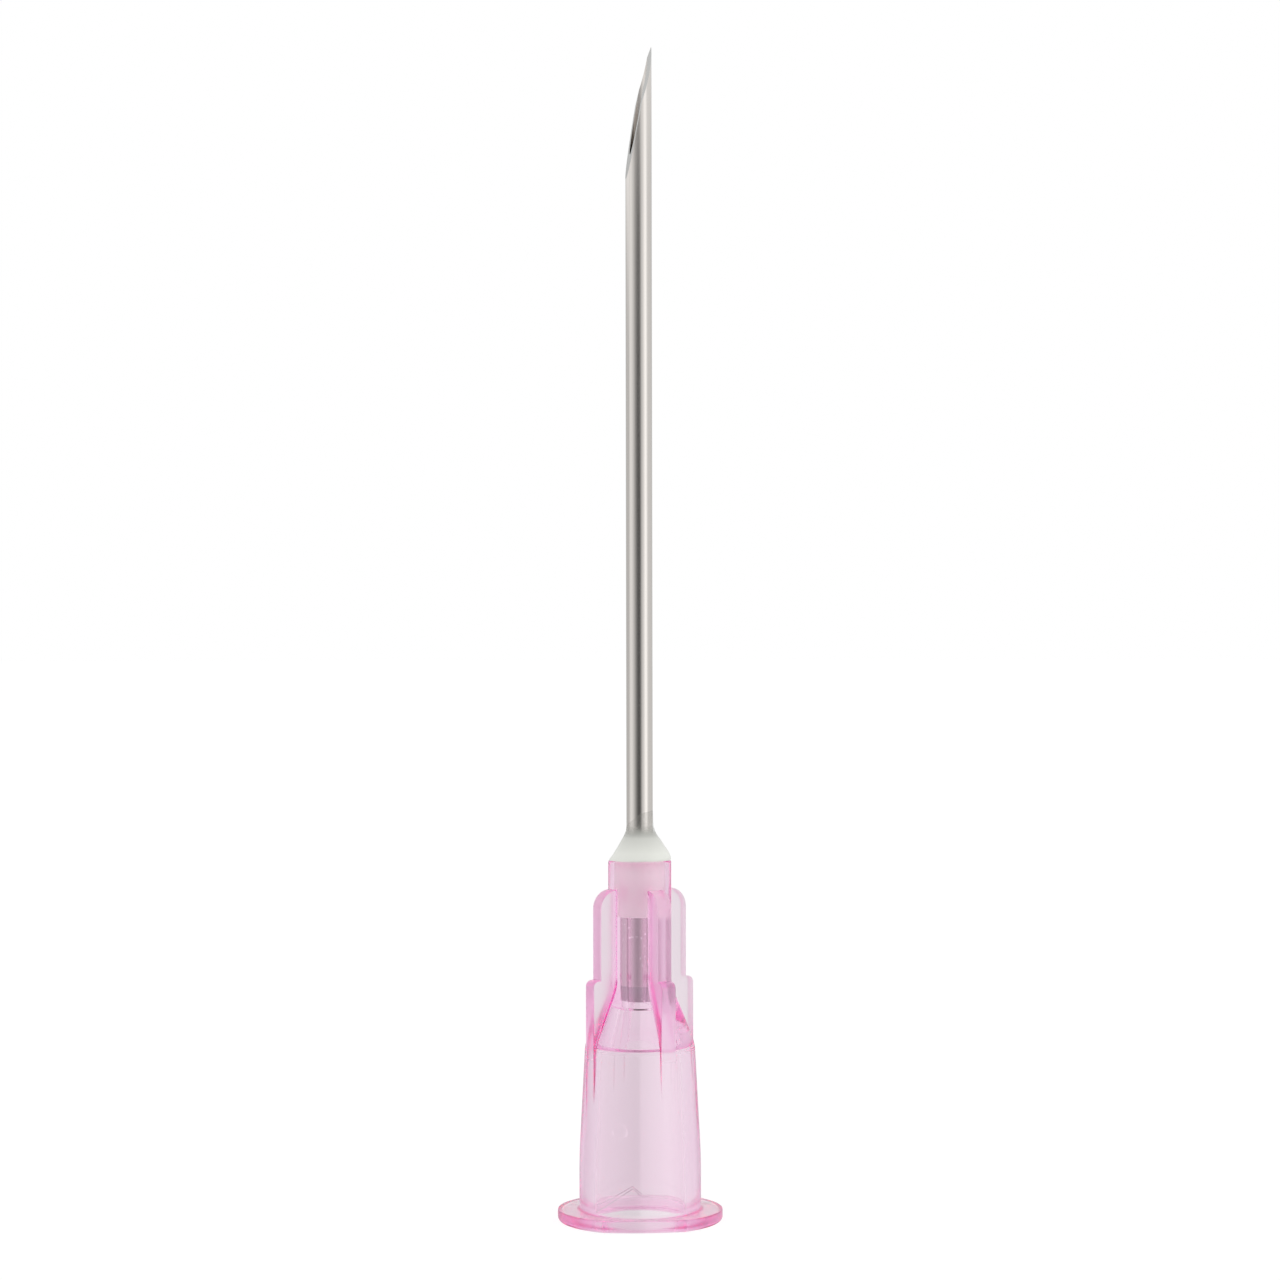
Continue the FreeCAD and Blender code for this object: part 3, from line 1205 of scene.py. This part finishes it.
@dataclass
class Studio:
    """Camera, floor, world and lights. Lengths are in metres.

    Attributes:
        distance: How far the camera stands from the needle's axis.
        camera_height: Height of the camera.
        camera_side: How far it stands to the right.
        camera_roll: How far it is rolled, in degrees.
        focal_pixels: Focal length in pixels of the photograph.
        floor_size: Side of the floor.
        floor_grey: Grey of the floor.
        floor_glow: Strength of the floor's glow where the camera or glass sees it.
        floor_clean: Share of the glow that the camera sees.
        plain_level: Level of the room for all plain surfaces.
        mirror_levels: Levels of the room that metal reflects, by direction.
        mirror_strength: Strength of those levels.
        beyond_levels: Levels of the room that are seen through the plastic, by direction.
        high_from: Sine of the elevation from which metal reflects plain white.
        high_fade: How fast that begins.
        lamp_reach: Distance of the lamps from the axis.
        lamp_aim: Height that the lamps face.
        bounces: How often a ray may be reflected or let through.
        diffuse_bounces: How often it may be scattered.
    """

    distance: float = 0.148
    camera_height: float = 0.027537
    camera_side: float = 0.000033
    camera_roll: float = 0.098
    focal_pixels: float = 3115.8
    floor_size: float = 8.0
    floor_grey: float = 0.82
    floor_glow: float = 1.1
    floor_clean: float = 0.8
    plain_level: float = 0.78
    mirror_levels: Levels = (
        (0.0, 0.45),
        (0.167, 0.45),
        (0.283, 0.72),
        (0.486, 0.075),
        (0.511, 0.075),
        (0.583, 0.56),
        (0.667, 0.99),
        (0.744, 0.56),
        (1.0, 0.48),
    )
    mirror_strength: float = 1.3
    beyond_levels: Levels = (
        (0.0, 0.73),
        (0.14, 0.8),
        (0.28, 1.0),
        (0.455, 0.5),
        (0.62, 1.0),
        (0.74, 1.0),
        (0.86, 0.85),
    )
    high_from: float = 0.16
    high_fade: float = 0.05
    lamp_reach: float = 0.45
    lamp_aim: float = 0.03
    bounces: int = 64
    diffuse_bounces: int = 8

    def camera(self) -> bpy.types.Object:
        """Place the camera where the photograph was taken from.

        Returns:
            The camera.
        """
        lens = bpy.data.cameras.new("Camera")
        lens.sensor_width = SENSOR_MM
        lens.lens = SENSOR_MM * self.focal_pixels / PHOTO_SIDE
        lens.clip_start = 0.001
        lens.clip_end = 100.0
        camera = bpy.data.objects.new("Camera", lens)
        camera.location = (self.camera_side, -self.distance, self.camera_height)
        camera.rotation_euler = (math.radians(90.0), math.radians(self.camera_roll), 0.0)
        bpy.context.collection.objects.link(camera)
        bpy.context.scene.camera = camera
        return camera

    def floor(self) -> bpy.types.Object:
        """Lay a pale floor that stays white behind the needle and keeps its shadow.

        Returns:
            The floor.
        """
        Bench.clear()
        bpy.ops.mesh.primitive_plane_add(size=self.floor_size, location=(0.0, 0.0, 0.0))
        floor = bpy.context.object
        floor.name = "Floor"
        material = bpy.data.materials.new("PaleFloor")
        weave = Weave(material)
        grey = rgb(self.floor_grey, self.floor_grey, self.floor_grey)
        lit = weave.node("ShaderNodeBsdfDiffuse", {}, {"Color": grey})
        glow = weave.node("ShaderNodeEmission", {}, {"Color": WHITE, "Strength": self.floor_glow})
        camera, glossy, through = weave.paths(*RAYS)
        clean = (camera * self.floor_clean + glossy + through).clamped()
        weave.node("ShaderNodeOutputMaterial", {}, {"Surface": weave.blend(clean, lit, glow)})
        floor.data.materials.append(material)
        floor.visible_glossy = False
        floor.visible_transmission = False
        return floor

    @staticmethod
    def room(weave: Weave, around: Wire, levels: Levels, strength: float) -> Wire:
        """Light of the room by direction.

        Args:
            weave: Node tree of the world.
            around: Direction as a part of a full turn, with the camera's side in the middle.
            levels: Directions and their grey levels.
            strength: Strength of the light.

        Returns:
            The background.
        """
        stops = [(place, rgb(level, level, level)) for place, level in levels]
        colour = weave.node("ShaderNodeValToRGB", {"stops": stops}, {0: around})
        return weave.background(colour, strength)

    def world(self) -> None:
        """Surround the needle with white light that has darker stretches for metal and plastic."""
        world = bpy.data.worlds.new("White")
        bpy.context.scene.world = world
        weave = Weave(world)
        camera, glossy, through = weave.paths(*RAYS)
        east, north, rise = weave.parts(weave.node("ShaderNodeTexCoord", output="Generated"))
        turn = weave.node("ShaderNodeMath", {"operation": "ARCTAN2"}, {0: east, 1: 0.0 - north})
        around = turn / math.tau + 0.5
        white = weave.background(WHITE, 1.0)
        high = ((rise - self.high_from) / self.high_fade).clamped()
        mirrored = self.room(weave, around, self.mirror_levels, self.mirror_strength)
        beyond = self.room(weave, around, self.beyond_levels, 1.0)
        lit = weave.background(WHITE, self.plain_level)
        lit = weave.blend(glossy, lit, weave.blend(high, mirrored, white))
        lit = weave.blend(through, lit, beyond)
        weave.node("ShaderNodeOutputWorld", {}, {"Surface": weave.blend(camera, lit, white)})

    def lamp(self, name: str, azimuth: float, height: float, size: Sequence[float], power: float) -> None:
        """Hang a soft box that faces the needle.

        Args:
            name: Name of the lamp.
            azimuth: Direction from the needle, in degrees to the right of the camera.
            height: Height of its middle in metres.
            size: Width and height in metres.
            power: Power in watts.
        """
        light = bpy.data.lights.new(name, "AREA")
        light.shape = "RECTANGLE"
        light.size, light.size_y = size
        light.energy = power
        lamp = bpy.data.objects.new(name, light)
        angle = math.radians(azimuth)
        lamp.location = (self.lamp_reach * math.sin(angle), -self.lamp_reach * math.cos(angle), height)
        aim = Vector((0.0, 0.0, self.lamp_aim)) - lamp.location
        lamp.rotation_euler = aim.to_track_quat("-Z", "Y").to_euler()
        lamp.visible_camera = False
        lamp.visible_glossy = False
        lamp.visible_transmission = False
        bpy.context.collection.objects.link(lamp)

    def build(self) -> None:
        """Set up the studio."""
        self.camera()
        self.floor()
        self.world()
        self.lamp("RightBox", 80.0, 0.15, (0.25, 0.5), 0.6)
        self.lamp("LeftBox", -75.0, 0.15, (0.3, 0.5), 0.3)
        scene = bpy.context.scene
        scene.view_settings.view_transform = "Standard"
        scene.cycles.max_bounces = self.bounces
        scene.cycles.glossy_bounces = self.bounces
        scene.cycles.transmission_bounces = self.bounces
        scene.cycles.diffuse_bounces = self.diffuse_bounces
        scene.cycles.blur_glossy = 0.0


def main() -> None:
    """Build the studio and the needle and log how many faces each piece has."""
    logging.basicConfig(level=logging.INFO, format="%(message)s")
    Studio().build()
    for maker in (Hub(), Cannula(), Adhesive()):
        piece = maker.build()
        LOG.info("%s: %d faces", piece.name, len(piece.data.polygons))


if __name__ == "__main__":
    main()
